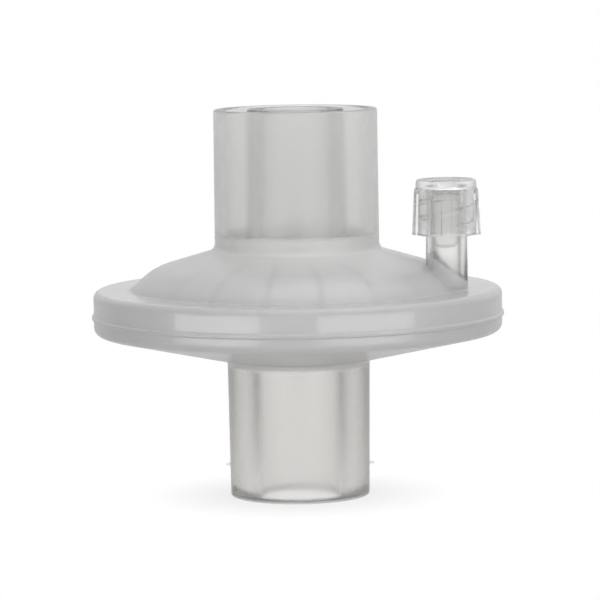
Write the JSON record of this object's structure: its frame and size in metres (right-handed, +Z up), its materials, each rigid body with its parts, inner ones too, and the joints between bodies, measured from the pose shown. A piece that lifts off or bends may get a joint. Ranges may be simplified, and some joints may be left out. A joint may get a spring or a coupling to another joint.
{
  "type": "breathing circuit filter",
  "caption": "Translucent round breathing circuit filter with 22 mm and 15 mm cone ports, a welded rim and a capped luer sampling port.",
  "frame": {"origin": "centre of the lower port's end face, on the surface the filter stands on", "axes": "+Z up along the axis of both ports; the sampling port stands on the +X side, 15 degrees towards -Y"},
  "size_m": [0.065, 0.0648, 0.061],
  "materials": {
    "housing_plastic": "frosted translucent moulded plastic",
    "clear_plastic": "clear gloss",
    "medium_fibre": "white nonwoven fibre"
  },
  "bodies": {
    "housing": {"upper_shell": "housing_plastic", "lower_shell": "housing_plastic", "filter_medium": "medium_fibre"},
    "cap": {"luer_cap": "clear_plastic"}
  },
  "joints": [
    {"name": "luer_cap_lift", "type": "slide", "parent": "housing", "child": "cap", "axis": [0, 0, 1], "range_m": [0, 0.012]}
  ]
}
